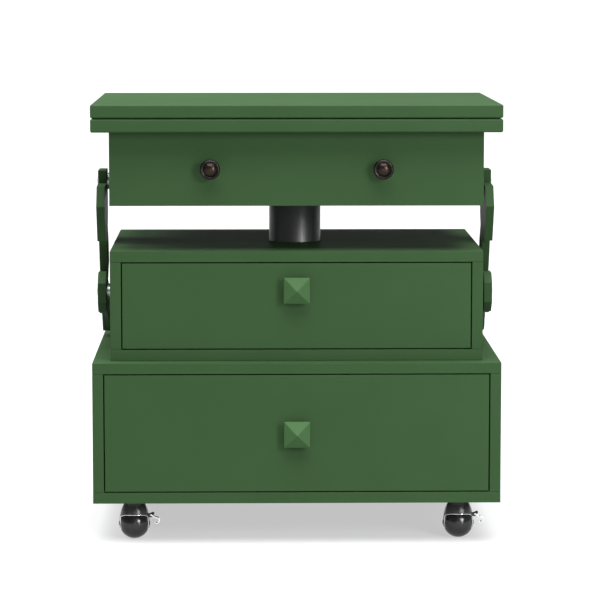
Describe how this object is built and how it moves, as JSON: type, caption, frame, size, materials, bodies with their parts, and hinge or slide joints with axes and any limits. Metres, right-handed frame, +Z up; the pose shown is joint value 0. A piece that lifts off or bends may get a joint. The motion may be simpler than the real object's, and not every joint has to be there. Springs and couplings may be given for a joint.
{
  "type": "sewing table",
  "caption": "Wheeled sewing table: stacked drawer cabinets, a telescopic column with cranked side arms, and a drawer case under a fold-over work top.",
  "frame": {"origin": "on the floor, under the middle of the table's overall box", "axes": "+Z up, -Y towards the drawers' fronts, +X to the right seen from the front"},
  "size_m": [0.6786, 0.494, 0.7265],
  "materials": {
    "green_paint": "satin green paint on wood board",
    "birch_ply": "clear-lacquered birch plywood",
    "black_steel": "satin black enamel",
    "dark_bronze": "oil-rubbed dark bronze",
    "chrome": "polished chrome",
    "zinc_steel": "zinc-plated steel",
    "hood_black": "gloss black",
    "ball_black": "satin black moulded plastic"
  },
  "bodies": {
    "base": {"lower_bottom_panel": "green_paint", "lower_left_side": "green_paint", "lower_right_side": "green_paint", "lower_back_panel": "green_paint", "lower_top_panel": "green_paint", "lower_left_runner": "zinc_steel", "lower_right_runner": "zinc_steel", "middle_bottom_panel": "green_paint", "middle_left_side": "green_paint", "middle_right_side": "green_paint", "middle_back_panel": "green_paint", "middle_top_panel": "green_paint", "middle_left_runner": "zinc_steel", "middle_right_runner": "zinc_steel", "column_tube": "black_steel", "left_lower_pivot_bolt": "zinc_steel", "right_lower_pivot_bolt": "zinc_steel", "front_left_caster_plate": "zinc_steel", "front_right_caster_plate": "zinc_steel", "rear_left_caster_plate": "zinc_steel", "rear_right_caster_plate": "zinc_steel"},
    "lower_drawer": {"lower_drawer_front": "green_paint", "lower_drawer_tray": "birch_ply", "lower_drawer_knob": "green_paint"},
    "middle_drawer": {"middle_drawer_front": "green_paint", "middle_drawer_tray": "birch_ply", "middle_drawer_knob": "green_paint"},
    "top_unit": {"column_slider": "black_steel", "case_left_side": "green_paint", "case_right_side": "green_paint", "case_floor": "green_paint", "case_back_panel": "green_paint", "fixed_leaf": "green_paint", "left_hinge_lower": "zinc_steel", "right_hinge_lower": "zinc_steel"},
    "top_drawer": {"top_drawer_front": "green_paint", "top_drawer_tray": "birch_ply", "top_drawer_left_knob": "dark_bronze", "top_drawer_right_knob": "dark_bronze"},
    "folding_leaf": {"folding_leaf": "green_paint", "left_hinge_upper": "zinc_steel", "right_hinge_upper": "zinc_steel"},
    "left_lower_arm": {"left_lower_arm": "green_paint", "left_knee_bolt": "zinc_steel"},
    "left_upper_arm": {"left_upper_arm": "green_paint", "left_upper_pivot_bolt": "zinc_steel"},
    "right_lower_arm": {"right_lower_arm": "green_paint", "right_knee_bolt": "zinc_steel"},
    "right_upper_arm": {"right_upper_arm": "green_paint", "right_upper_pivot_bolt": "zinc_steel"},
    "front_left_caster": {"front_left_caster_hood": "hood_black"},
    "front_left_wheel": {"front_left_caster_ball": "ball_black"},
    "front_left_brake": {"front_left_brake_lever": "chrome"},
    "front_right_caster": {"front_right_caster_hood": "hood_black"},
    "front_right_wheel": {"front_right_caster_ball": "ball_black"},
    "front_right_brake": {"front_right_brake_lever": "chrome"},
    "rear_left_caster": {"rear_left_caster_hood": "hood_black"},
    "rear_left_wheel": {"rear_left_caster_ball": "ball_black"},
    "rear_right_caster": {"rear_right_caster_hood": "hood_black"},
    "rear_right_wheel": {"rear_right_caster_ball": "ball_black"}
  },
  "joints": [
    {"name": "lower_drawer_slide", "type": "slide", "parent": "base", "child": "lower_drawer", "axis": [0, -1, 0], "range_m": [0, 0.32]},
    {"name": "middle_drawer_slide", "type": "slide", "parent": "base", "child": "middle_drawer", "axis": [0, -1, 0], "range_m": [0, 0.28]},
    {"name": "top_lift", "type": "slide", "parent": "base", "child": "top_unit", "axis": [0, 0, 1], "range_m": [0, 0.08]},
    {"name": "top_drawer_slide", "type": "slide", "parent": "top_unit", "child": "top_drawer", "axis": [0, -1, 0], "range_m": [0, 0.28]},
    {"name": "work_top_fold", "type": "hinge", "parent": "top_unit", "child": "folding_leaf", "pos_m": [0, 0.2435, 0.70375], "axis": [-1, 0, 0], "range_deg": [0, 180]},
    {"name": "left_lower_arm_pivot", "type": "hinge", "parent": "base", "child": "left_lower_arm", "pos_m": [-0.3295, -0.004, 0.397], "axis": [1, 0, 0], "range_deg": [0, 31.91]},
    {"name": "left_knee_pivot", "type": "hinge", "parent": "left_lower_arm", "child": "left_upper_arm", "pos_m": [-0.3295, 0.139, 0.337], "axis": [1, 0, 0], "range_deg": [-29.54, 0]},
    {"name": "right_lower_arm_pivot", "type": "hinge", "parent": "base", "child": "right_lower_arm", "pos_m": [0.3295, -0.004, 0.397], "axis": [1, 0, 0], "range_deg": [0, 31.91]},
    {"name": "right_knee_pivot", "type": "hinge", "parent": "right_lower_arm", "child": "right_upper_arm", "pos_m": [0.3295, 0.139, 0.337], "axis": [1, 0, 0], "range_deg": [-29.54, 0]},
    {"name": "front_left_caster_swivel", "type": "hinge", "parent": "base", "child": "front_left_caster", "pos_m": [-0.271, -0.172, 0.0655], "axis": [0, 0, 1], "continuous": true},
    {"name": "front_left_wheel_roll", "type": "hinge", "parent": "front_left_caster", "child": "front_left_wheel", "pos_m": [-0.271, -0.164, 0.025], "axis": [1, 0, 0], "continuous": true},
    {"name": "front_left_brake_pivot", "type": "hinge", "parent": "front_left_caster", "child": "front_left_brake", "pos_m": [-0.243, -0.164, 0.0395], "axis": [0, -1, 0], "range_deg": [0, 25]},
    {"name": "front_right_caster_swivel", "type": "hinge", "parent": "base", "child": "front_right_caster", "pos_m": [0.271, -0.172, 0.0655], "axis": [0, 0, 1], "continuous": true},
    {"name": "front_right_wheel_roll", "type": "hinge", "parent": "front_right_caster", "child": "front_right_wheel", "pos_m": [0.271, -0.164, 0.025], "axis": [1, 0, 0], "continuous": true},
    {"name": "front_right_brake_pivot", "type": "hinge", "parent": "front_right_caster", "child": "front_right_brake", "pos_m": [0.299, -0.164, 0.0395], "axis": [0, -1, 0], "range_deg": [0, 25]},
    {"name": "rear_left_caster_swivel", "type": "hinge", "parent": "base", "child": "rear_left_caster", "pos_m": [-0.271, 0.188, 0.0655], "axis": [0, 0, 1], "continuous": true},
    {"name": "rear_left_wheel_roll", "type": "hinge", "parent": "rear_left_caster", "child": "rear_left_wheel", "pos_m": [-0.271, 0.196, 0.025], "axis": [1, 0, 0], "continuous": true},
    {"name": "rear_right_caster_swivel", "type": "hinge", "parent": "base", "child": "rear_right_caster", "pos_m": [0.271, 0.188, 0.0655], "axis": [0, 0, 1], "continuous": true},
    {"name": "rear_right_wheel_roll", "type": "hinge", "parent": "rear_right_caster", "child": "rear_right_wheel", "pos_m": [0.271, 0.196, 0.025], "axis": [1, 0, 0], "continuous": true}
  ],
  "couplings": [
    {"joint": "left_lower_arm_pivot", "follows": "top_lift", "rad_per_m": 6.9596},
    {"joint": "left_knee_pivot", "follows": "top_lift", "rad_per_m": -6.4432},
    {"joint": "right_lower_arm_pivot", "follows": "top_lift", "rad_per_m": 6.9596},
    {"joint": "right_knee_pivot", "follows": "top_lift", "rad_per_m": -6.4432}
  ]
}
